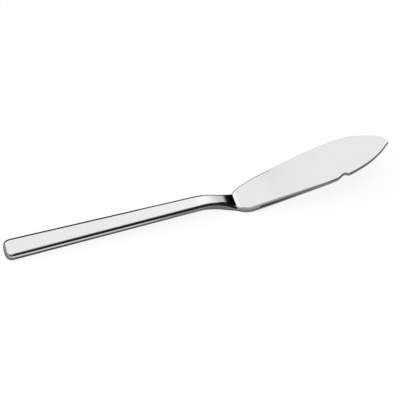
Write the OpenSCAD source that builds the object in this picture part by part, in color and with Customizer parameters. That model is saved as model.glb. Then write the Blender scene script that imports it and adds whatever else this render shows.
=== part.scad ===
// Fish knife of polished stainless steel, forged in one piece.
// It lies on its underside: X runs from the butt to the tip, +Y is the cutting edge's side,
// -Y is the side of the thick back with its notch, and the origin is under the middle.
// The three nodes are the three worked stretches of the one forging, and each ends
// on the very section on which the next one starts.

/* [Overall] */
// Length of the knife from butt to tip
overall_l = 205; // [190:1:220]

/* [Handle] */
// Length of the straight handle, up to where the neck starts to fall
handle_l = 100.9; // [92:0.1:116]
// Width of the handle near its butt
butt_w = 12.1; // [9:0.1:15]
// Width of the handle where the neck starts
handle_end_w = 8.5; // [6.5:0.1:10]
// Thickness of the handle at its butt
butt_t = 4.8; // [3.6:0.1:6]
// Thickness of the handle where the neck starts
handle_end_t = 4.5; // [3.4:0.05:5.5]
// Height that the handle's underside gains from the butt to the neck
handle_rise = 4.9; // [3:0.1:7]
// Radius of the long edges of the handle
handle_edge_r = 1.6; // [0.5:0.1:2]
// Radius of its upper edge on the side of the cutting edge, which is rounder
handle_far_r = 2; // [0.5:0.1:2.6]
// Length over which the butt's end rounds into the sides, seen from above
butt_round_l = 4.5; // [2:0.1:6]
// Radius of the upper and lower edge of the butt's end
butt_edge_r = 1.8; // [0.4:0.1:2.2]

/* [Neck] */
// Length of the neck, from the handle to the crease at the blade's root
neck_l = 20.4; // [15:0.1:24]
// Width of the neck at its narrowest
neck_w = 7.3; // [6:0.1:9]
// Width of the neck at the crease
root_w = 10.4; // [8:0.1:12]
// Thickness of the steel at the crease
root_t = 3; // [2.4:0.1:4]
// Radius of the edges at the crease
root_edge_r = 1.2; // [0.5:0.1:1.4]
// Angle below level at which the neck's top meets the crease
neck_fall = 29; // [14:1:32]

/* [Blade] */
// Angle at which the blade rises from the heel to the tip
blade_pitch = 12.5; // [6:0.5:16]
// Distance from the crease at which the blade has taken up that angle
blade_bend_l = 4; // [3:0.5:12]
// Distance of the straight back from the knife's middle line
back_out = 9; // [7:0.1:12]
// Farthest reach of the cutting edge from the middle line
belly_out = 17; // [12:0.1:20]
// Distance of the tip from the middle line, towards the cutting edge
tip_out = 3.5; // [0:0.1:6]
// Thickness of the back at the heel
heel_t = 3.6; // [3:0.1:4.6]
// Thickness of the back at the tip
tip_t = 1.6; // [1.2:0.1:2.4]
// Thickness of the cutting edge, which is blunt on a fish knife
cut_t = 0.9; // [0.6:0.05:1.2]
// Radius of the back's upper edge from the crease to the heel
heel_edge_r = 2.2; // [0.6:0.1:2.6]
// Radius of the back's upper edge from the notch to the tip
point_edge_r = 0.8; // [0.2:0.05:1]
// Radius of the tip, seen from above
tip_r = 1.2; // [0.8:0.1:2.4]

/* [Notch in the back] */
// Distance of the notch's deepest place from the tip
notch_from_tip = 26.9; // [22:0.1:32]
// Depth of the notch
notch_depth = 1.5; // [0.6:0.1:2.4]
// Length over which the back falls into the notch
notch_in_l = 4.6; // [3:0.1:7]
// Length over which it comes out again towards the tip
notch_out_l = 2.4; // [1.6:0.1:4]

/* [Hidden] */
steel = [0.82, 0.83, 0.84];

blade_l = overall_l - handle_l - neck_l;
crease_x = handle_l + neck_l;
// The middle of the knife's whole width, measured from the handle's middle line
middle_y = (belly_out - back_out) / 2;

// Radii of the back's lower edge and of both edges of the cutting side
back_low_r = 0.8;
cut_edge_r = 0.3;
// Smallest width of a section at the butt and at the tip
end_w = 0.5;
// No edge radius takes more than these shares of a section's width, and of its thickness
// for an upper and for a lower edge
width_limit_share = 0.44;
high_limit_share = 0.62;
low_limit_share = 0.34;
// The edges of the butt's end take no more than this share of its thickness
butt_limit_share = 0.44;
// Exponent of the butt's outline: 2 would be an ellipse, and more is squarer
butt_power = 2.6;

// Steps round each edge of a section, and sections along each stretch
edge_steps = 6;
butt_steps = 12;
neck_steps = 22;
root_steps = 12;
back_steps = 14;
notch_steps = 16;
point_steps = 14;
nose_steps = 8;

// Outlines of the blade as shares chosen by eye. First comes the way along the blade,
// then the way from the crease's corner out to the back or the belly.
heel_shares = [[0, 0], [0.03, 0.42], [0.06, 0.78], [0.09, 0.95], [0.13, 1]];
swell_shares = [[0, 0], [0.01, 0.1], [0.02, 0.17], [0.06, 0.305], [0.15, 0.51],
    [0.3, 0.735], [0.45, 0.895], [0.58, 0.98], [0.66, 1]];
// Here the second share is the way out from the tip
point_back_shares = [[0.58, 1], [0.71, 0.93], [0.83, 0.73], [0.93, 0.4], [1, 0.03]];
point_belly_shares = [[0.66, 1], [0.76, 0.975], [0.89, 0.68], [0.96, 0.41], [1, 0.08]];
// How fast the tip's nose opens behind its round end
nose_spread_share = 2;
// How the cutting edge thins from the crease, and thickens a little at the tip
thin_end_share = 0.35;
thick_start_share = 0.8;
// Narrowest place of the neck as a share of its length, and how fast its sides spread
// at the crease, as a share of their mean spread from the narrowest place on
waist_share = 0.55;
root_spread_share = 1.8;

// Smooth curves
// A cubic from one end to the other with a slope given at each end
function bridge(x, a, b) =
    let (l = b.x - a.x, t = (x - a.x) / l)
    (2*t*t*t - 3*t*t + 1) * a.y + (t*t*t - 2*t*t + t) * l * a.z
    + (3*t*t - 2*t*t*t) * b.y + (t*t*t - t*t) * l * b.z;
function rise(p, i) = (p[i + 1].y - p[i].y) / (p[i + 1].x - p[i].x);
// Slope at a point of a list, level where the list turns back
function slope(p, i) =
    i == 0 ? rise(p, 0)
    : i == len(p) - 1 ? rise(p, i - 1)
    : let (a = rise(p, i - 1), b = rise(p, i)) a * b <= 0 ? 0 : 2 * a * b / (a + b);
function piece(p, x, i = 0) = i >= len(p) - 2 || x < p[i + 1].x ? i : piece(p, x, i + 1);
function curve(p, x) =
    let (i = piece(p, x))
    bridge(x, [p[i].x, p[i].y, slope(p, i)], [p[i + 1].x, p[i + 1].y, slope(p, i + 1)]);
// A soft step from 0 to 1 while t goes from 0 to 1
function ease(t) = let (s = min(1, max(0, t))) (1 - cos(180 * s)) / 2;

// One section of the knife, square to X, with a level underside and upright sides. The top runs
// straight from the near side to the far side. s holds near and far (Y), then low, high at
// the near side and high at the far side (Z). r holds the radii of the four edges in
// the order low near, low far, high far, high near.
function round_corner(y, z, r, from, to) =
    [for (i = [0 : edge_steps]) let (a = from + (to - from) * i / edge_steps) [y + r*cos(a), z + r*sin(a)]];
function section(x, s, r) =
    let (
        near = s[0], far = s[1], low = s[2], w = far - near,
        tilt = atan2(s[3] - s[4], w),
        w_cap = width_limit_share * w,
        ln = min(r[0], w_cap, low_limit_share * (s[3] - low)),
        lf = min(r[1], w_cap, low_limit_share * (s[4] - low)),
        hf = min(r[2], w_cap, high_limit_share * (s[4] - low)),
        hn = min(r[3], w_cap, high_limit_share * (s[3] - low))
    )
    [for (p = concat(
        round_corner(near + ln, low + ln, ln, 180, 270),
        round_corner(far - lf, low + lf, lf, 270, 360),
        round_corner(far - hf, s[4] + hf * tan(tilt) - hf / cos(tilt), hf, 0, 90 - tilt),
        round_corner(near + hn, s[3] - hn * tan(tilt) - hn / cos(tilt), hn, 90 - tilt, 180)
    )) [x - overall_l / 2, p.x - middle_y, p.y]];

// Handle: a straight bar that tapers in width and a little in thickness
handle_slope = handle_rise / handle_l;
handle_radii = [handle_edge_r, handle_edge_r, handle_far_r, handle_edge_r];
butt_r = min(butt_edge_r, butt_limit_share * butt_t);
function handle_w(x) = butt_w + (handle_end_w - butt_w) * x / handle_l;
function handle_t(x) = butt_t + (handle_end_t - butt_t) * x / handle_l;
function handle_low(x) = handle_slope * (x - butt_r);
function butt_half(x) =
    handle_w(x) / 2 * pow(1 - pow(max(0, 1 - x / butt_round_l), butt_power), 1 / butt_power);
function butt_inset(x) = x >= butt_r ? 0 : butt_r - sqrt(butt_r * butt_r - pow(butt_r - x, 2));
function handle_section(x) =
    let (
        half = max(end_w, butt_half(x)),
        d = butt_inset(x),
        low = handle_low(x),
        high = low + handle_t(x) - d
    )
    section(x, [-half, half, low + d, high, high], handle_radii);
handle_rings = concat(
    [for (i = [0 : butt_steps]) handle_section(butt_round_l * (1 - cos(90 * i / butt_steps)))],
    [handle_section(handle_l)]
);

// Neck: it falls from the handle's end to the crease while it narrows and widens again
handle_top_slope = handle_slope + (handle_end_t - butt_t) / handle_l;
neck_top_start = [handle_l, handle_low(handle_l) + handle_end_t, handle_top_slope];
neck_top_end = [crease_x, root_t, -tan(neck_fall)];
neck_low_start = [handle_l, handle_low(handle_l), handle_slope];
neck_low_end = [crease_x, 0, 0];
waist_x = handle_l + waist_share * neck_l;
// The neck leaves the handle on the handle's own taper and meets the crease already spreading
root_spread = root_spread_share * (root_w - neck_w) / (crease_x - waist_x);
root_radii = [root_edge_r, root_edge_r, root_edge_r, heel_edge_r];
function neck_width(x) =
    x < waist_x
    ? bridge(x, [handle_l, handle_end_w, (handle_end_w - butt_w) / handle_l], [waist_x, neck_w, 0])
    : bridge(x, [waist_x, neck_w, 0], [crease_x, root_w, root_spread]);
function neck_section(x) =
    let (
        half = neck_width(x) / 2,
        t = (x - handle_l) / neck_l,
        radii = handle_radii + (root_radii - handle_radii) * t,
        high = bridge(x, neck_top_start, neck_top_end)
    )
    section(x, [-half, half, bridge(x, neck_low_start, neck_low_end), high, high], radii);
neck_rings = [for (i = [0 : neck_steps]) neck_section(handle_l + neck_l * i / neck_steps)];

// Blade: the heel spreads from the crease, the back runs straight to the notch, and the
// cutting edge swells to the belly, before both come together in the tip
blade_slope = tan(blade_pitch);
notch_l = blade_l - notch_from_tip;
function notch(l) =
    l < notch_l ? notch_depth * ease((l - notch_l + notch_in_l) / notch_in_l)
    : notch_depth * ease((notch_l + notch_out_l - l) / notch_out_l);
// The back as it would run without the notch
function back_y(l) =
    let (t = l / blade_l)
    t < heel_shares[len(heel_shares) - 1].x ? -root_w / 2 - (back_out - root_w / 2) * curve(heel_shares, t)
    : tip_out - (back_out + tip_out) * curve(point_back_shares, max(t, point_back_shares[0].x));
function cut_y(l) =
    let (t = l / blade_l)
    t < point_belly_shares[0].x ? root_w / 2 + (belly_out - root_w / 2) * curve(swell_shares, t)
    : tip_out + (belly_out - tip_out) * curve(point_belly_shares, t);
// The tip is blunt: a round nose, which opens faster than the two edges do, cuts them off
function nose_half(l) =
    let (d = blade_l - l) sqrt(max(0, 2 * tip_r * d + pow(nose_spread_share * d, 2)));
nose_start = blade_l - tip_r;
function whole_y(l) = max(back_y(l), tip_out - nose_half(l));
function far_y(l) = max(whole_y(l) + end_w, min(cut_y(l), tip_out + nose_half(l)));
// The underside leaves the crease level and bends up to the blade's angle
function blade_low(l) =
    l < blade_bend_l ? blade_slope * l * l / (2 * blade_bend_l) : blade_slope * (l - blade_bend_l / 2);
heel_l = heel_shares[len(heel_shares) - 1].x * blade_l;
function back_t(l) =
    l < heel_l ? root_t + (heel_t - root_t) * ease(l / heel_l)
    : heel_t + (tip_t - heel_t) * (l - heel_l) / (blade_l - heel_l);
function edge_t(l) =
    let (t = l / blade_l)
    t < thin_end_share ? root_t + (cut_t - root_t) * ease(t / thin_end_share)
    : cut_t + (tip_t - cut_t) * ease((t - thick_start_share) / (1 - thick_start_share));
function back_r(l) =
    heel_edge_r + (point_edge_r - heel_edge_r) * ease((l - heel_l) / (notch_l - heel_l));
// The other three edges change from the crease's radius to their own
function low_r(l, r) = root_edge_r + (r - root_edge_r) * ease(l / blade_l / thin_end_share);
// The notch is cut into the blade, so the top keeps the slope that it has without it
function blade_section(l) =
    let (
        low = blade_low(l),
        whole = whole_y(l),
        far = far_y(l),
        near = whole + min(notch(l), far - whole - end_w),
        high = low + back_t(l) - (back_t(l) - edge_t(l)) * (near - whole) / (far - whole)
    )
    section(crease_x + l, [near, far, low, high, low + edge_t(l)],
        [low_r(l, back_low_r), low_r(l, cut_edge_r), low_r(l, cut_edge_r), back_r(l)]);
notch_start_l = notch_l - notch_in_l;
notch_end_l = notch_l + notch_out_l;
// Sections from one place along the blade to another, without the first
function stretch(from, to, steps) = [for (i = [1 : steps]) blade_section(from + (to - from) * i / steps)];
blade_rings = concat(
    [blade_section(0)],
    stretch(0, heel_l, root_steps),
    stretch(heel_l, notch_start_l, back_steps),
    stretch(notch_start_l, notch_end_l, notch_steps),
    stretch(notch_end_l, nose_start, point_steps),
    [for (i = [1 : nose_steps]) blade_section(nose_start + tip_r * sin(90 * i / nose_steps))]
);

// A closed skin over sections that have the same number of points
module loft(rings) {
    n = len(rings[0]);
    last = (len(rings) - 1) * n;
    skin = [for (i = [0 : len(rings) - 2], j = [0 : n - 1])
        let (a = i * n + j, b = i * n + (j + 1) % n) each [[a, b + n, b], [a, a + n, b + n]]];
    ends = [[for (j = [0 : n - 1]) j], [for (j = [n - 1 : -1 : 0]) last + j]];
    polyhedron(points = [for (ring = rings) each ring], faces = concat(skin, ends), convexity = 4);
}

module handle() { color(steel) loft(handle_rings); }
module neck() { color(steel) loft(neck_rings); }
module blade() { color(steel) loft(blade_rings); }

handle();
neck();
blade();
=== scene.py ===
# %% [markdown]
# A fish knife of polished stainless steel
#
# A fish knife is one forging: a flat bar handle, a neck that falls to a crisp crease, and a broad
# blade with a thick notched back and a blunt edge. It has one metal and no ornament, so two
# things make it look real: smooth sections with truly round edges, and a studio worth reflecting.
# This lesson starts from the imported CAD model, which fixes the place, the length and the overall
# width of each stretch. X runs from the butt to the tip, the notched back is on the -Y side,
# and the knife lies on the plane Z = 0.

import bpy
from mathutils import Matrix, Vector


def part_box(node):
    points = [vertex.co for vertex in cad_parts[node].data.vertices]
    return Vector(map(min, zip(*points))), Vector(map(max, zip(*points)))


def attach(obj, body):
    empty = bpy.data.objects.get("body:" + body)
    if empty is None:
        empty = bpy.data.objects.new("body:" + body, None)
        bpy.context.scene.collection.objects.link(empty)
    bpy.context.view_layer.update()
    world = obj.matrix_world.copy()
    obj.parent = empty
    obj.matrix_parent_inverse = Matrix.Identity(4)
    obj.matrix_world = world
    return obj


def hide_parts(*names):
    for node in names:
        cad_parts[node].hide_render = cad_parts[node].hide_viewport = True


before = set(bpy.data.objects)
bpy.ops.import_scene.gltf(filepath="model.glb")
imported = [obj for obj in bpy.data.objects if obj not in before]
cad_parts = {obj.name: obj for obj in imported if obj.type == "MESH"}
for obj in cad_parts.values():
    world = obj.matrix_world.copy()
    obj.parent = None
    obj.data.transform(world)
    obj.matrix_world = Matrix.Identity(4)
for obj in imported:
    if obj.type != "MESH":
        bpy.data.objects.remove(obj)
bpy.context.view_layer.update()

# %% Modules from Blender and from Python
import math

import bmesh
import bpy
from mathutils import Vector

# %% [markdown]
# The camera
#
# The knife was photographed with a long lens from the side of its back, high enough to show the whole
# upper face. The direction and the scale were fitted to the outline in the photograph, so they
# are written as they came out. The camera is aimed a little beside the knife's middle,
# which frames it as the photograph does and needs no lens shift.

# %% Place the camera
camera_azimuth = math.radians(-15.79)
camera_elevation = math.radians(49.22)
camera_distance = 0.9
image_width = 400
pixels_per_metre = 1944.4
sensor_width = 36
nearest_view = 0.01
target = Vector((0, 0, 0.005))
aim_right = 0.0013
aim_down = 0.00004

camera_back = Vector((
    math.sin(camera_azimuth) * math.cos(camera_elevation),
    -math.cos(camera_azimuth) * math.cos(camera_elevation),
    math.sin(camera_elevation),
))
camera_right = Vector((math.cos(camera_azimuth), math.sin(camera_azimuth), 0))
camera_up = camera_back.cross(camera_right)
camera_aim = target + camera_right * aim_right - camera_up * aim_down

bpy.ops.object.camera_add(location=camera_aim + camera_back * camera_distance)
camera = bpy.context.object
camera.rotation_euler = camera_back.to_track_quat("Z", "Y").to_euler()
camera.data.sensor_width = sensor_width
camera.data.lens = sensor_width * pixels_per_metre * camera_distance / image_width
camera.data.clip_start = nearest_view
bpy.context.scene.camera = camera
print("lens in millimetres:", round(camera.data.lens, 1))

# %% [markdown]
# Sizes
#
# The lengths and the overall widths are read from the boxes of the three CAD nodes, so the knife
# can't drift away from the frame. A box can't tell a radius or a thickness, so each stretch
# has a few sizes of its own, which are given where it is made. Lengths are in metres,
# with mm as the unit in which a cutler would say them.

# %% Sizes from the frame
mm = 0.001
handle_low, handle_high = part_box("handle")
neck_low, neck_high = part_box("neck")
blade_low, blade_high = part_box("blade")

butt_x = handle_low.x
seam_x = handle_high.x
crease_x = neck_high.x
tip_x = blade_high.x
handle_l = seam_x - butt_x
neck_l = crease_x - seam_x
blade_l = tip_x - crease_x
line_y = (neck_low.y + neck_high.y) / 2
root_w = neck_high.y - neck_low.y
back_out = line_y - blade_low.y
belly_out = blade_high.y - line_y
print("handle, neck and blade in mm:", [round(v / mm, 1) for v in (handle_l, neck_l, blade_l)])

# %% [markdown]
# Curves
#
# A cutler's outline is a handful of places joined by one easy curve. bridge is a cubic with a given
# slope at both ends, curve runs such cubics through a list of shares, and ease is a soft step.
# The slopes come from the neighbouring points, so the curve never swings past them.

# %% Smooth curves
def bridge(x, a, b):
    """Height at x of a cubic between a and b, each a place, a height and a slope."""
    span = b[0] - a[0]
    t = (x - a[0]) / span
    leave = (2 * t**3 - 3 * t**2 + 1) * a[1] + (t**3 - 2 * t**2 + t) * span * a[2]
    arrive = (3 * t**2 - 2 * t**3) * b[1] + (t**3 - t**2) * span * b[2]
    return leave + arrive


def rise(points, i):
    """Slope of the straight line between two neighbouring points."""
    return (points[i + 1][1] - points[i][1]) / (points[i + 1][0] - points[i][0])


def slope(points, i):
    """Slope of the curve at a point, level where the list turns back."""
    if i == 0:
        return rise(points, 0)
    if i == len(points) - 1:
        return rise(points, i - 1)
    before, after = rise(points, i - 1), rise(points, i)
    return 0 if before * after <= 0 else 2 * before * after / (before + after)


def curve(points, x):
    """Height at x of the smooth curve through the points."""
    i = 0
    while i < len(points) - 2 and x >= points[i + 1][0]:
        i += 1
    start = (*points[i], slope(points, i))
    return bridge(x, start, (*points[i + 1], slope(points, i + 1)))


def ease(t):
    """A soft step from 0 to 1 while t goes from 0 to 1."""
    return (1 - math.cos(math.pi * min(1, max(0, t)))) / 2


print("soft step at a quarter and at a half:", round(ease(1 / 4), 3), round(ease(1 / 2), 3))

# %% [markdown]
# One section
#
# Cut anywhere, the knife shows a level underside, upright sides and a flat top, which slopes on the
# blade from the thick back to the thin edge, and four rounded corners. A mirror finish shows every
# flaw of a mesh, and the usual one is a flat that looks puffed up, because its corner points
# share their normals with the round edge. Extra points close to each corner stop that, as
# holding loops do in hand modelling. Each point also carries a number, which the
# material uses for wear: it rises to 1 in the middle of a round edge and is 0 on the
# flats. A radius may take up only a share of the width and of the height.

# %% Points of a section
corner_steps = 10
wide_shares = [0.015, 0.05, 0.15, 0.3, 0.5, 0.7, 0.85, 0.95, 0.985]
side_shares = [0.08, 0.3, 0.7, 0.92]
width_limit_share = 0.44
high_limit_share = 0.62
low_limit_share = 0.34


def corner(y, z, r, start, end):
    """Points round one long edge about its centre, from one angle to another."""
    points = []
    for i in range(corner_steps + 1):
        share = i / corner_steps
        angle = start + (end - start) * share
        points.append((y + r * math.cos(angle), z + r * math.sin(angle), math.sin(math.pi * share)))
    return points


def flat(a, b, shares):
    """Points along a flat between two corners."""
    return [(a[0] + (b[0] - a[0]) * s, a[1] + (b[1] - a[1]) * s, 0) for s in shares]


def section(x, near, far, low, high_near, high_far, radii):
    """One section at x: its points with their wear, anticlockwise seen from the tip.

    The radii are those of the lower near, lower far, upper far and upper near edge.
    """
    tilt = math.atan2(high_near - high_far, far - near)
    widest = width_limit_share * (far - near)
    low_near = min(radii[0], widest, low_limit_share * (high_near - low))
    low_far = min(radii[1], widest, low_limit_share * (high_far - low))
    top_far = min(radii[2], widest, high_limit_share * (high_far - low))
    top_near = min(radii[3], widest, high_limit_share * (high_near - low))
    quarter = math.pi / 2
    corners = [
        corner(near + low_near, low + low_near, low_near, 2 * quarter, 3 * quarter),
        corner(far - low_far, low + low_far, low_far, 3 * quarter, 4 * quarter),
        corner(
            far - top_far, high_far + top_far * (math.tan(tilt) - 1 / math.cos(tilt)),
            top_far, 0, quarter - tilt,
        ),
        corner(
            near + top_near, high_near - top_near * (math.tan(tilt) + 1 / math.cos(tilt)),
            top_near, quarter - tilt, 2 * quarter,
        ),
    ]
    ring = []
    for i, shares in enumerate((wide_shares, side_shares, wide_shares, side_shares)):
        ring += corners[i] + flat(corners[i][-1], corners[(i + 1) % 4][0], shares)
    return [(Vector((x, line_y + y, z)), wear) for y, z, wear in ring]


print("points in a section:", 4 * (corner_steps + 1) + 2 * (len(wide_shares) + len(side_shares)))

# %% [markdown]
# Drawing out a bar
#
# No primitive is near this shape, because the section changes all the way along. A smith draws a bar
# out blow by blow, and the mesh is made in the same way: it starts as a filled circle with one
# vertex for each point of the section, its end face is extruded again and again, and every
# time the new rim is set on the next section. The ends stay flat. An extra section close to
# each seam, and shading by angle, keep them crisp where the next stretch begins.

# %% Extrude a piece through its sections
blank_r = 1 * mm
hold = 0.1 * mm
end_w = 0.5 * mm
sharp_angle = math.radians(35)


def set_rim(mesh, points, start):
    """Sets the rim of the selected end face on a section, from the vertex nearest to start."""
    end = next(face for face in mesh.faces if face.select)
    rim = [loop.vert for loop in end.loops]
    first = min(range(len(rim)), key=lambda i: (rim[i].co - start).length)
    wear_layer = mesh.verts.layers.float["wear"]
    for i, (place, wear) in enumerate(points):
        vertex = rim[(first + i) % len(rim)]
        vertex.co = place
        vertex[wear_layer] = wear


def draw_out(name, sections):
    """Makes a piece by extruding a filled circle through all its sections."""
    bpy.ops.object.select_all(action="DESELECT")
    bpy.ops.mesh.primitive_circle_add(vertices=len(sections[0]), radius=blank_r, fill_type="NGON")
    piece = bpy.context.object
    piece.name = name
    piece.data.name = name
    piece.data.attributes.new("wear", "FLOAT", "POINT")
    bpy.ops.object.mode_set(mode="EDIT")
    bpy.ops.mesh.select_mode(type="FACE")
    bpy.ops.mesh.select_all(action="SELECT")
    mesh = bmesh.from_edit_mesh(piece.data)
    mesh.verts.ensure_lookup_table()
    set_rim(mesh, sections[0], mesh.verts[0].co.copy())
    for here, there in zip(sections, sections[1:]):
        step = Vector((there[0][0].x - here[0][0].x, 0, 0))
        bpy.ops.mesh.extrude_region_move(TRANSFORM_OT_translate={"value": step})
        set_rim(bmesh.from_edit_mesh(piece.data), there, here[0][0] + step)
    bmesh.update_edit_mesh(piece.data)
    bpy.ops.mesh.select_all(action="SELECT")
    bpy.ops.mesh.normals_make_consistent(inside=False)
    bpy.ops.object.mode_set(mode="OBJECT")
    bpy.ops.object.shade_smooth_by_angle(angle=sharp_angle)
    return piece


print("edges sharper than", round(math.degrees(sharp_angle)), "degrees stay crisp")

# %% [markdown]
# The handle
#
# The handle is a straight bar that narrows and thins a little towards the neck and lifts off the table
# on the way. Seen from above its butt is a squarish half oval, and its rim is rounded. Sections
# crowd together at the butt, where the shape turns fast, and a few are enough for the rest.

# %% Sizes of the handle
butt_w = 12.1 * mm
handle_end_w = 8.5 * mm
butt_t = 4.8 * mm
handle_end_t = 4.5 * mm
handle_rise = 4.9 * mm
handle_edge_r = 1.6 * mm
handle_far_r = 2 * mm
butt_round_l = 4.5 * mm
butt_edge_r = 1.8 * mm
butt_power = 2.6
handle_slope = handle_rise / handle_l
print("the handle rises by", round(math.degrees(math.atan(handle_slope)), 2), "degrees")

# %% Sections of the handle
handle_radii = [handle_edge_r, handle_edge_r, handle_far_r, handle_edge_r]


def handle_width(l):
    return butt_w + (handle_end_w - butt_w) * l / handle_l


def handle_thickness(l):
    return butt_t + (handle_end_t - butt_t) * l / handle_l


def handle_underside(l):
    return handle_slope * (l - butt_edge_r)


def handle_section(l):
    """The handle's section at a distance l from the butt."""
    closing = max(0, 1 - l / butt_round_l)
    half = max(end_w, handle_width(l) / 2 * (1 - closing**butt_power) ** (1 / butt_power))
    inset = 0
    if l < butt_edge_r:
        inset = butt_edge_r - math.sqrt(butt_edge_r**2 - (butt_edge_r - l) ** 2)
    low = handle_underside(l)
    top = low + handle_thickness(l) - inset
    return section(butt_x + l, -half, half, low + inset, top, top, handle_radii)


print("width of the handle half way along in mm:", round(handle_width(handle_l / 2) / mm, 2))

# %% Make the handle
butt_steps = 26
handle_steps = 10
handle_stations = [
    butt_round_l * (1 - math.cos(math.pi / 2 * i / butt_steps)) for i in range(butt_steps + 1)
]
straight_l = handle_l - butt_round_l
handle_stations += [butt_round_l + straight_l * i / handle_steps for i in range(1, handle_steps)]
handle_stations += [handle_l - hold, handle_l]
handle = draw_out("bar_handle", [handle_section(l) for l in handle_stations])
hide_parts("handle")
print("handle sections:", len(handle_stations), "faces:", len(handle.data.polygons))

# %% [markdown]
# The neck
#
# After the handle the bar drops towards the table and is drawn in to a waist. It then spreads again up
# to the crease, where it ends in mid-slope: that angle against the blade is the sharpest line on
# the knife. The neck starts with the handle's own slopes, so no seam shows between the two.

# %% Sizes of the neck
neck_w = 7.3 * mm
waist_share = 0.55
root_spread_share = 1.8
root_t = 3 * mm
root_edge_r = 1.2 * mm
heel_edge_r = 2.2 * mm
neck_fall = math.radians(29)
print("the waist is", round(waist_share * neck_l / mm, 1), "mm from the handle")

# %% Sections of the neck
handle_top_slope = handle_slope + (handle_end_t - butt_t) / handle_l
neck_top = [
    (0, handle_underside(handle_l) + handle_end_t, handle_top_slope),
    (neck_l, root_t, -math.tan(neck_fall)),
]
neck_bottom = [(0, handle_underside(handle_l), handle_slope), (neck_l, 0, 0)]
root_radii = [root_edge_r, root_edge_r, root_edge_r, heel_edge_r]
waist_l = waist_share * neck_l
root_spread = root_spread_share * (root_w - neck_w) / (neck_l - waist_l)


def neck_width(l):
    if l < waist_l:
        return bridge(l, (0, handle_end_w, (handle_end_w - butt_w) / handle_l), (waist_l, neck_w, 0))
    return bridge(l, (waist_l, neck_w, 0), (neck_l, root_w, root_spread))


def neck_section(l):
    """The neck's section at a distance l from the handle."""
    half = neck_width(l) / 2
    top = bridge(l, *neck_top)
    radii = [a + (b - a) * l / neck_l for a, b in zip(handle_radii, root_radii)]
    return section(seam_x + l, -half, half, bridge(l, *neck_bottom), top, top, radii)


print("width of the neck at its waist in mm:", round(neck_width(waist_l) / mm, 2))

# %% Make the neck
neck_steps = 60
neck_stations = [neck_l * i / neck_steps for i in range(neck_steps + 1)]
neck_stations = sorted(neck_stations + [hold, neck_l - hold])
neck = draw_out("cranked_neck", [neck_section(l) for l in neck_stations])
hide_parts("neck")
print("neck sections:", len(neck_stations), "faces:", len(neck.data.polygons))

# %% [markdown]
# The blade
#
# The heel swells from the crease in a quick shoulder. The back then runs dead straight almost to the
# notch and curves to the tip, while the blunt edge swells slowly to its belly. The blade leaves
# the crease level and then bends up to its pitch in little more than a millimetre: that bend
# catches the light as the pale band beside the crease. The thick back thins out towards
# the tip. The tip itself is a blunt nose, which cuts off both edges.

# %% Sizes of the blade
blade_pitch = math.radians(12.5)
blade_bend_l = 4 * mm
level_share = 0.35
tip_out = 3.5 * mm
heel_t = 3.6 * mm
tip_t = 1.6 * mm
cut_t = 0.9 * mm
point_edge_r = 0.8 * mm
back_low_r = 0.8 * mm
cut_edge_r = 0.3 * mm
tip_r = 1.2 * mm
nose_spread_share = 2
thin_end_share = 0.35
thick_start_share = 0.8
print("the blade rises by", round(math.degrees(blade_pitch), 1), "degrees")

# %% Sizes of the notch
notch_from_tip = 26.9 * mm
notch_l = blade_l - notch_from_tip
notch_depth = 1.5 * mm
notch_in_l = 4.6 * mm
notch_out_l = 2.4 * mm
print("the notch is", round(notch_l / mm, 1), "mm from the crease")

# %% Outline of the blade
heel_shares = [(0, 0), (0.03, 0.42), (0.06, 0.78), (0.09, 0.95), (0.13, 1)]
swell_shares = [
    (0, 0), (0.01, 0.1), (0.02, 0.17), (0.06, 0.305), (0.15, 0.51),
    (0.3, 0.735), (0.45, 0.895), (0.58, 0.98), (0.66, 1),
]
point_back_shares = [(0.58, 1), (0.71, 0.93), (0.83, 0.73), (0.93, 0.4), (1, 0.03)]
point_belly_shares = [(0.66, 1), (0.76, 0.975), (0.89, 0.68), (0.96, 0.41), (1, 0.08)]
nose_start = blade_l - tip_r
heel_l = heel_shares[-1][0] * blade_l


def notch(l):
    """How far the back is cut in at a distance l from the crease."""
    if l < notch_l:
        return notch_depth * ease((l - notch_l + notch_in_l) / notch_in_l)
    return notch_depth * ease((notch_l + notch_out_l - l) / notch_out_l)


def whole_back(l):
    """Place of the back across the knife, as it would run without the notch."""
    share = l / blade_l
    if share < heel_shares[-1][0]:
        return -root_w / 2 - (back_out - root_w / 2) * curve(heel_shares, share)
    return tip_out - (back_out + tip_out) * curve(point_back_shares, max(share, point_back_shares[0][0]))


def cutting_side(l):
    """Place of the blunt edge across the knife."""
    share = l / blade_l
    if share < point_belly_shares[0][0]:
        return root_w / 2 + (belly_out - root_w / 2) * curve(swell_shares, share)
    return tip_out + (belly_out - tip_out) * curve(point_belly_shares, share)


def nose_half(l):
    """Half the width of the blunt nose, which cuts off both edges at the tip."""
    rest = blade_l - l
    return math.sqrt(max(0, 2 * tip_r * rest + (nose_spread_share * rest) ** 2))


middle_w = cutting_side(blade_l / 2) - whole_back(blade_l / 2)
print("width of the blade half way along in mm:", round(middle_w / mm, 2))

# %% Thickness and edges of the blade
def underside(l):
    """Height of the underside, level at the crease and then at the blade's pitch."""
    level_l = level_share * blade_bend_l
    turn_l = blade_bend_l - 2 * level_l
    if l < level_l + turn_l:
        return math.tan(blade_pitch) * max(0, l - level_l) ** 2 / (2 * turn_l)
    return math.tan(blade_pitch) * (l - blade_bend_l / 2)


def back_thickness(l):
    if l < heel_l:
        return root_t + (heel_t - root_t) * ease(l / heel_l)
    return heel_t + (tip_t - heel_t) * (l - heel_l) / (blade_l - heel_l)


def edge_thickness(l):
    share = l / blade_l
    if share < thin_end_share:
        return root_t + (cut_t - root_t) * ease(share / thin_end_share)
    return cut_t + (tip_t - cut_t) * ease((share - thick_start_share) / (1 - thick_start_share))


def back_radius(l):
    return heel_edge_r + (point_edge_r - heel_edge_r) * ease((l - heel_l) / (notch_l - heel_l))


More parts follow.
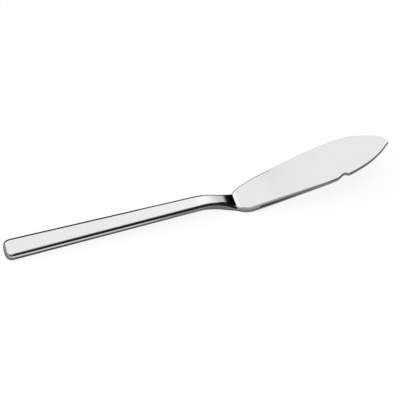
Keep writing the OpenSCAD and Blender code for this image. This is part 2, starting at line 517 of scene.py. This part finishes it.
def settled_radius(l, end_radius):
    """Radius of an edge that changes from the crease's radius to its own."""
    return root_edge_r + (end_radius - root_edge_r) * ease(l / blade_l / thin_end_share)


def blade_section(l):
    """The blade's section at a distance l from the crease."""
    nose = nose_half(l)
    whole = max(whole_back(l), tip_out - nose)
    far = max(whole + end_w, min(cutting_side(l), tip_out + nose))
    near = whole + min(notch(l), far - whole - end_w)
    low = underside(l)
    wedge = (back_thickness(l) - edge_thickness(l)) / (far - whole)
    high = low + back_thickness(l) - wedge * (near - whole)
    edge_radius = settled_radius(l, cut_edge_r)
    radii = [settled_radius(l, back_low_r), edge_radius, edge_radius, back_radius(l)]
    return section(crease_x + l, near, far, low, high, low + edge_thickness(l), radii)


print("the tip's underside is", round(underside(blade_l) / mm, 1), "mm above the table")

# %% Make the blade
def stretch(start, end, steps):
    """Stations from one place along the blade to another, without the first."""
    return [start + (end - start) * i / steps for i in range(1, steps + 1)]


heel_steps = 48
back_steps = 50
notch_steps = 36
point_steps = 60
nose_steps = 16
blade_stations = [0, hold]
blade_stations += stretch(hold, heel_l, heel_steps)
blade_stations += stretch(heel_l, notch_l - notch_in_l, back_steps)
blade_stations += stretch(notch_l - notch_in_l, notch_l + notch_out_l, notch_steps)
blade_stations += stretch(notch_l + notch_out_l, nose_start, point_steps)
blade_stations += [
    nose_start + tip_r * math.sin(math.pi / 2 * i / nose_steps) for i in range(1, nose_steps + 1)
]
blade = draw_out("notched_blade", [blade_section(l) for l in blade_stations])
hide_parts("blade")
print("blade sections:", len(blade_stations), "faces:", len(blade.data.polygons))

# %% [markdown]
# The finish
#
# Polished cutlery isn't a perfect mirror. The last polishing wheel leaves lines that run along the
# piece, finer than half a millimetre, and flats that are very slightly wavy. Fingers leave
# faint dull patches, and the rims that touch the drawer are scuffed a little. All three
# pieces share these effects, so each effect is a shader node group with its own
# inputs, built once, and every material places it with its own values.

# %% Helpers for node groups
def new_group(name, inputs, outputs):
    """A shader node group with named sockets: each input is a name, a kind and a value."""
    group = bpy.data.node_groups.new(name, "ShaderNodeTree")
    for label, kind, value in inputs:
        socket = group.interface.new_socket(label, in_out="INPUT", socket_type=kind)
        socket.default_value = value
    for label, kind in outputs:
        group.interface.new_socket(label, in_out="OUTPUT", socket_type=kind)
    return group, group.nodes.new("NodeGroupInput"), group.nodes.new("NodeGroupOutput")


def math_node(tree, operation, a, b, clamp=False):
    """A Math node whose inputs are numbers or sockets."""
    node = tree.nodes.new("ShaderNodeMath")
    node.operation = operation
    node.use_clamp = clamp
    for socket, value in zip(node.inputs, (a, b)):
        if isinstance(value, (int, float)):
            socket.default_value = value
        else:
            tree.links.new(value, socket)
    return node.outputs[0]


def noise_node(tree, place, detail, roughness=0.5):
    """A noise between 0 and 1 at a place that is already scaled."""
    node = tree.nodes.new("ShaderNodeTexNoise")
    node.inputs["Scale"].default_value = 1
    node.inputs["Detail"].default_value = detail
    node.inputs["Roughness"].default_value = roughness
    tree.links.new(place, node.inputs["Vector"])
    return node.outputs["Fac"]


def scaled_place(tree, place, scale):
    """The place stretched by a vector, given as a socket or as three numbers."""
    node = tree.nodes.new("ShaderNodeVectorMath")
    node.operation = "MULTIPLY"
    tree.links.new(place, node.inputs[0])
    if isinstance(scale, tuple):
        node.inputs[1].default_value = scale
    else:
        tree.links.new(scale, node.inputs[1])
    return node.outputs[0]


place_input = ("Place", "NodeSocketVector", (0, 0, 0))
depth_input = ("Depth", "NodeSocketFloat", 1)
print("every group starts with the input", place_input[0])

# %% Polishing lines
lines_per_metre = (40, 2600, 2600)
line_detail = 3
line_grain = 0.6
lines_group, given, made = new_group(
    "polishing_lines",
    [place_input, ("Lines per metre", "NodeSocketVector", lines_per_metre), depth_input],
    [("Line", "NodeSocketFloat"), ("Height", "NodeSocketFloat")],
)
line_place = scaled_place(lines_group, given.outputs["Place"], given.outputs["Lines per metre"])
line = noise_node(lines_group, line_place, line_detail, line_grain)
line_height = math_node(lines_group, "MULTIPLY", line, given.outputs["Depth"])
lines_group.links.new(line, made.inputs["Line"])
lines_group.links.new(line_height, made.inputs["Height"])
print("group:", lines_group.name)

# %% Waviness of the polished flats
waves_per_metre = (45, 70, 70)
wave_detail = 1
wave_group, given, made = new_group(
    "polished_waviness",
    [place_input, ("Waves per metre", "NodeSocketVector", waves_per_metre), depth_input],
    [("Height", "NodeSocketFloat")],
)
wave_place = scaled_place(wave_group, given.outputs["Place"], given.outputs["Waves per metre"])
wave = noise_node(wave_group, wave_place, wave_detail)
wave_height = math_node(wave_group, "MULTIPLY", wave, given.outputs["Depth"])
wave_group.links.new(wave_height, made.inputs["Height"])
print("group:", wave_group.name)

# %% Finger marks and worn rims
smudges_per_metre = (110, 160, 160)
smudge_detail = 4
smudge_grain = 0.55
clean_level = 0.5
smudge_contrast = 3
scuffs_per_metre = (900, 900, 900)
scuff_detail = 2
marks_group, given, made = new_group(
    "handling_marks",
    [place_input, ("Rim", "NodeSocketFloat", 0)],
    [("Dull", "NodeSocketFloat"), ("Worn", "NodeSocketFloat")],
)
smudge_place = scaled_place(marks_group, given.outputs["Place"], smudges_per_metre)
smudge = noise_node(marks_group, smudge_place, smudge_detail, smudge_grain)
faint = math_node(marks_group, "SUBTRACT", smudge, clean_level)
dull = math_node(marks_group, "MULTIPLY", faint, smudge_contrast, clamp=True)
marks_group.links.new(dull, made.inputs["Dull"])
scuff_place = scaled_place(marks_group, given.outputs["Place"], scuffs_per_metre)
scuff = noise_node(marks_group, scuff_place, scuff_detail)
worn = math_node(marks_group, "MULTIPLY", scuff, given.outputs["Rim"])
marks_group.links.new(worn, made.inputs["Worn"])
print("group:", marks_group.name)

# %% [markdown]
# Steel
#
# Metallic 1 makes the surface a mirror, so the base colour is simply how much it reflects: polished
# steel gives back about five sixths, almost without a tint. Roughness decides how crisp the
# reflections are, and the lines, the finger marks and the scuffs each add a little to it. The
# larger a flat is, the harder it is to polish true, so the blade gets more roughness and
# deeper waves than the handle, and the short neck gets the shallowest waves.

# %% A polished steel material
line_depth = 0.25
line_rough = 0.05
smudge_rough = 0.05
worn_rough = 0.05
smudge_dark_share = 0.6
height_unit = 0.001 * mm


def polished_steel(name, bright, deep, roughness, wave_depth):
    """Polished steel: two close tones, a base roughness, and how deep its waves are."""
    material = bpy.data.materials.new(name)
    material.use_nodes = True
    tree = material.node_tree
    shader = tree.nodes["Principled BSDF"]
    shader.inputs["Metallic"].default_value = 1
    place = tree.nodes.new("ShaderNodeTexCoord").outputs["Object"]
    rim = tree.nodes.new("ShaderNodeAttribute")
    rim.attribute_name = "wear"

    def placed(group):
        node = tree.nodes.new("ShaderNodeGroup")
        node.node_tree = group
        tree.links.new(place, node.inputs["Place"])
        return node

    lines, waves, marks = placed(lines_group), placed(wave_group), placed(marks_group)
    lines.inputs["Depth"].default_value = line_depth
    waves.inputs["Depth"].default_value = wave_depth
    tree.links.new(rim.outputs["Fac"], marks.inputs["Rim"])

    tone = tree.nodes.new("ShaderNodeMix")
    tone.data_type = "RGBA"
    tone.inputs["A"].default_value = (*deep, 1)
    tone.inputs["B"].default_value = (*bright, 1)
    dulled = math_node(tree, "MULTIPLY", marks.outputs["Dull"], smudge_dark_share)
    tree.links.new(math_node(tree, "SUBTRACT", 1, dulled), tone.inputs["Factor"])
    tree.links.new(tone.outputs["Result"], shader.inputs["Base Color"])

    lined = math_node(tree, "MULTIPLY", lines.outputs["Line"], line_rough)
    smudged = math_node(tree, "MULTIPLY", marks.outputs["Dull"], smudge_rough)
    scuffed = math_node(tree, "MULTIPLY", marks.outputs["Worn"], worn_rough)
    rough = math_node(tree, "ADD", math_node(tree, "ADD", lined, smudged), scuffed)
    tree.links.new(math_node(tree, "ADD", rough, roughness), shader.inputs["Roughness"])

    height = math_node(tree, "ADD", lines.outputs["Height"], waves.outputs["Height"])
    bump = tree.nodes.new("ShaderNodeBump")
    bump.inputs["Strength"].default_value = 1
    bump.inputs["Distance"].default_value = height_unit
    tree.links.new(height, bump.inputs["Height"])
    tree.links.new(bump.outputs["Normal"], shader.inputs["Normal"])
    return material


# %% Tones, roughness and waves of the three pieces
bar_bright = (0.86, 0.865, 0.86)
bar_deep = (0.8, 0.81, 0.81)
blade_bright = (0.855, 0.865, 0.855)
blade_deep = (0.8, 0.81, 0.805)
bar_rough = 0.03
blade_rough = 0.04
handle_wave_depth = 12
neck_wave_depth = 8
blade_wave_depth = 14
handle_steel = polished_steel("handle_steel", bar_bright, bar_deep, bar_rough, handle_wave_depth)
neck_steel = polished_steel("neck_steel", bar_bright, bar_deep, bar_rough, neck_wave_depth)
blade_steel = polished_steel("blade_steel", blade_bright, blade_deep, blade_rough, blade_wave_depth)
print("materials:", [steel.name for steel in (handle_steel, neck_steel, blade_steel)])

# %% Dress the three pieces
for piece, steel in ((handle, handle_steel), (neck, neck_steel), (blade, blade_steel)):
    piece.data.materials.clear()
    piece.data.materials.append(steel)
    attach(piece, "root")
print("dressed:", [o.name for o in (handle, neck, blade)])

# %% [markdown]
# The table
#
# The photograph shows the knife on pure white. The floor is a pale plane that takes real light and
# shadow. For camera rays most of it is lifted to white, so the background comes out white
# while a soft shadow still holds the knife on the table. The knife's near side mirrors the
# table beside it, and there the photograph shows stripes: a photographer lays paper out
# of sight to get them. So reflections, and only they, see a painted table. Round the knife
# and towards the back it is dark with a painted contact shadow, which has one grey of its own
# past the butt. Towards the front a strip of paper follows, pale on the left and greyer on
# the right, and beyond it a shade, which is black on the left and grey on the right.

# %% Soft steps and blends
pure_white = (1, 1, 1, 1)


def soft_step(tree, value, start, end, low, high):
    """low before start, high after end, and a smooth passage between."""
    node = tree.nodes.new("ShaderNodeMapRange")
    node.interpolation_type = "SMOOTHSTEP"
    for label, number in (("From Min", start), ("From Max", end), ("To Min", low), ("To Max", high)):
        node.inputs[label].default_value = number
    tree.links.new(value, node.inputs["Value"])
    return node.outputs["Result"]


def blend(tree, factor, a, b):
    """a where the factor is 0 and b where it is 1, each a number or a socket.

    The node's second input is the factor of a vector, which a blend of numbers leaves alone.
    """
    node = tree.nodes.new("ShaderNodeMix")
    for socket, value in zip(node.inputs, (factor, None, a, b)):
        if isinstance(value, (int, float)):
            socket.default_value = value
        elif value is not None:
            tree.links.new(value, socket)
    return node.outputs[0]


print("white of the floor and the world:", pure_white)

# %% Greys and edges of the table
floor_size = 3
floor_gap = 0.05 * mm
floor_white_share = 0.9
floor_white = 0.92
sheet_left = 0.72
sheet_right = 0.27
sheet_fade_start = -35 * mm
sheet_fade_end = -5 * mm
shade_left = 0.02
shade_right = 0.26
shade_fade_start = 35 * mm
shade_fade_end = 70 * mm
sheet_edge_start = -17 * mm
sheet_edge_end = -24 * mm
# Greys of the painted contact shadow beside and behind the knife, seen only in reflections, and of the
# painted shade past the butt
contact_shadow_left = 0.07
contact_shadow_right = 0.18
butt_shade = 0.2
butt_shade_start = -98 * mm
butt_shade_end = -103 * mm
contact_shadow_slant_share = 0.018
contact_shadow_start = -14.5 * mm
contact_shadow_end = -13.5 * mm
print("the paper starts", round(-contact_shadow_start / mm, 1), "mm in front of the middle line")

# %% Floor
bpy.ops.object.select_all(action="DESELECT")
bpy.ops.mesh.primitive_plane_add(size=floor_size, location=(0, 0, -floor_gap))
floor = bpy.context.object
floor.name = "table_top"

floor_paint = bpy.data.materials.new("table_white")
floor_paint.use_nodes = True
tree = floor_paint.node_tree
tree.nodes.clear()
output = tree.nodes.new("ShaderNodeOutputMaterial")
mix = tree.nodes.new("ShaderNodeMixShader")
matt = tree.nodes.new("ShaderNodeBsdfDiffuse")
white = tree.nodes.new("ShaderNodeEmission")
white.inputs["Color"].default_value = pure_white
path = tree.nodes.new("ShaderNodeLightPath").outputs
spot = tree.nodes.new("ShaderNodeSeparateXYZ")
tree.links.new(tree.nodes.new("ShaderNodeTexCoord").outputs["Object"], spot.inputs[0])
along, aside = spot.outputs[0], spot.outputs[1]
sheet = soft_step(tree, along, sheet_fade_start, sheet_fade_end, sheet_left, sheet_right)
shade = soft_step(tree, along, shade_fade_start, shade_fade_end, shade_left, shade_right)
beyond_sheet = soft_step(tree, aside, sheet_edge_start, sheet_edge_end, 0, 1)
# The painted contact shadow round the knife, with the painted shade past the butt
beside = math_node(tree, "ADD", aside, math_node(tree, "MULTIPLY", along, contact_shadow_slant_share))
contact_shadow = soft_step(tree, beside, contact_shadow_start, contact_shadow_end, 0, 1)
contact_shadow_grey = soft_step(tree, along, sheet_fade_start, sheet_fade_end, contact_shadow_left, contact_shadow_right)
beyond_butt = soft_step(tree, along, butt_shade_start, butt_shade_end, 0, 1)
painted_contact_shadow = blend(tree, beyond_butt, contact_shadow_grey, butt_shade)
mirrored = blend(tree, contact_shadow, blend(tree, beyond_sheet, sheet, shade), painted_contact_shadow)
tree.links.new(blend(tree, path["Is Glossy Ray"], floor_white, mirrored), matt.inputs["Color"])
tree.links.new(math_node(tree, "MULTIPLY", path["Is Camera Ray"], floor_white_share), mix.inputs[0])
tree.links.new(matt.outputs[0], mix.inputs[1])
tree.links.new(white.outputs[0], mix.inputs[2])
tree.links.new(mix.outputs[0], output.inputs["Surface"])
floor.data.materials.append(floor_paint)
print("floor:", floor.name)

# %% [markdown]
# The studio that the steel reflects
#
# Polished steel has no look of its own: its bright faces mirror a pale ceiling, and its black lines
# mirror dark walls. The world is painted as such a studio, fixed to the room and not to the
# camera. Its walls are dark below about 20 degrees, and above that the ceiling grows pale.
# Cards stand in front of this room. A soft one on the side from which the picture was
# taken, grey on the left and black on the right, draws the black line along the
# handle's near edge. A black one opposite darkens the handle's far edge, a grey one closes
# the left side, and a black one on the right is what the falling neck mirrors. All places
# are parts of a direction of length 1: across is X, depth is Y and height is Z. What
# the camera itself sees of the world is plain white.

# %% Greys and edges of the studio
ceiling_left = 0.94
ceiling_right = 1.09
ceiling_fade_start = 0.01
ceiling_fade_end = 0.21
wall_dark = 0.003
wall_end = 0.315
ceiling_start = 0.385
ceiling_full = 0.7
dim_share = 0.6
front_card_start = 0.38
front_card_end = -0.66
front_card_right = 0.85
front_card_slant = 0.6
slant_start = 0.33
front_grey_left = 0.32
front_grey_right = 0.01
front_fade_start = -0.07
front_fade_end = 0.03
left_grey = 0.34
left_card_start = -0.45
left_card_end = -0.6
right_card_start = 0.69
right_card_end = 0.74
card_soft = 0.06
back_card_left = 0.02
back_card_right = 0.3
back_card_top = 0.6
print("the walls end at", round(math.degrees(math.asin(wall_end))), "degrees")

# %% World
world = bpy.data.worlds.new("silver_studio")
bpy.context.scene.world = world
world.use_nodes = True
tree = world.node_tree
tree.nodes.clear()
direction = tree.nodes.new("ShaderNodeSeparateXYZ")
tree.links.new(tree.nodes.new("ShaderNodeTexCoord").outputs["Generated"], direction.inputs[0])
across, depth, height = direction.outputs

ceiling = soft_step(tree, across, ceiling_fade_start, ceiling_fade_end, ceiling_left, ceiling_right)
open_wall = soft_step(tree, height, wall_end, ceiling_start, wall_dark, dim_share)
high_wall = soft_step(tree, height, ceiling_start, ceiling_full, 0, 1 - dim_share)
room = math_node(tree, "MULTIPLY", ceiling, math_node(tree, "ADD", open_wall, high_wall))


def card(behind, grey, *edges):
    """A card of one grey in front of the room. Each edge is a value and where it passes from 0 to 1."""
    mask = 1
    for value, start, end in edges:
        mask = math_node(tree, "MULTIPLY", soft_step(tree, value, start, end, 0, 1), mask)
    return blend(tree, mask, behind, grey)


beyond = math_node(tree, "MAXIMUM", math_node(tree, "SUBTRACT", across, slant_start), 0)
slanted = math_node(tree, "SUBTRACT", depth, math_node(tree, "MULTIPLY", beyond, front_card_slant))
front_grey = soft_step(tree, across, front_fade_start, front_fade_end, front_grey_left, front_grey_right)
room = card(
    room, front_grey,
    (slanted, front_card_start, front_card_end),
    (across, front_card_right + card_soft, front_card_right),
)
room = card(
    room, wall_dark,
    (depth, 0, card_soft),
    (across, back_card_left - card_soft, back_card_left),
    (across, back_card_right + card_soft, back_card_right),
    (height, back_card_top + card_soft, back_card_top),
)
room = card(room, left_grey, (across, left_card_start, left_card_end))
room = card(room, wall_dark, (across, right_card_start, right_card_end))

studio = tree.nodes.new("ShaderNodeBackground")
tree.links.new(room, studio.inputs["Strength"])
studio.inputs["Color"].default_value = pure_white
plain = tree.nodes.new("ShaderNodeBackground")
plain.inputs["Color"].default_value = pure_white
mix = tree.nodes.new("ShaderNodeMixShader")
output = tree.nodes.new("ShaderNodeOutputWorld")
tree.links.new(tree.nodes.new("ShaderNodeLightPath").outputs["Is Camera Ray"], mix.inputs[0])
tree.links.new(studio.outputs[0], mix.inputs[1])
tree.links.new(plain.outputs[0], mix.inputs[2])
tree.links.new(mix.outputs[0], output.inputs["Surface"])
print("world:", world.name)

# %% [markdown]
# Two black cards
#
# The world is infinitely far away, so its cards look the same from every place on the knife. Cards
# that stand near don't. A small one in front of the butt carries the dark near line round the
# butt's corner, and a larger one behind the handle makes the line along its far edge darker
# on the left. Each is a plane on edge, in matt black, and only reflections show it.

# %% Places of the black cards
butt_card_left = -140 * mm
butt_card_right = -98 * mm
butt_card_aside = -40 * mm
butt_card_top = 25 * mm
far_card_left = -200 * mm
far_card_right = -20 * mm
far_card_aside = 100 * mm
far_card_top = 107 * mm
butt_card_l = butt_card_right - butt_card_left
far_card_l = far_card_right - far_card_left
print("lengths of the cards in mm:", round(butt_card_l / mm), round(far_card_l / mm))

# %% Matt black
card_black = bpy.data.materials.new("card_black")
card_black.use_nodes = True
card_shader = card_black.node_tree.nodes["Principled BSDF"]
card_shader.inputs["Base Color"].default_value = (wall_dark, wall_dark, wall_dark, 1)
card_shader.inputs["Specular IOR Level"].default_value = 0
print("material:", card_black.name)

# %% Two black cards beside the handle
def black_card(name, left, right, aside, top):
    """A black card that stands on the table along X. Only reflections show it."""
    middle = ((left + right) / 2, aside, top / 2)
    upright = (math.pi / 2, 0, 0)
    bpy.ops.mesh.primitive_plane_add(size=1, location=middle, rotation=upright)
    piece = bpy.context.object
    piece.name = name
    piece.scale = (right - left, top, 1)
    piece.visible_camera = False
    piece.visible_diffuse = False
    piece.visible_transmission = False
    piece.visible_shadow = False
    piece.data.materials.append(card_black)
    return piece


butt_card = black_card("butt_card", butt_card_left, butt_card_right, butt_card_aside, butt_card_top)
far_card = black_card("far_card", far_card_left, far_card_right, far_card_aside, far_card_top)
print("cards:", butt_card.name, far_card.name)

# %% [markdown]
# Two softboxes
#
# The world lights the matt table, and two large softboxes add to it, one on the left and one above
# and a little in front. Each is well over half as wide as it is far away, which makes its shadow
# soft. Reflections leave them out, so that no hot spot lands on the steel, which mirrors only
# the table, the cards and the painted studio.

# %% Lamps
left_box_place = (-0.95, 0.35, 0.8)
left_box_w = 0.8
left_box_power = 4
front_box_place = (0.1, -0.3, 1.3)
front_box_w = 0.9
front_box_power = 10


def softbox(name, place, width, power):
    """A square area lamp that is turned to the middle of the table and left out of reflections."""
    bpy.ops.object.light_add(type="AREA", location=place)
    lamp = bpy.context.object
    lamp.name = name
    lamp.data.size = width
    lamp.data.energy = power
    lamp.rotation_euler = Vector(place).to_track_quat("Z", "Y").to_euler()
    lamp.visible_glossy = False
    return lamp


left_box = softbox("left_softbox", left_box_place, left_box_w, left_box_power)
front_box = softbox("front_softbox", front_box_place, front_box_w, front_box_power)
print("lamps:", left_box.name, front_box.name)

# %% [markdown]
# Colour
#
# The colours are shown as they are, without a film look.

# %% View of the colours
bpy.context.scene.view_settings.view_transform = "Standard"
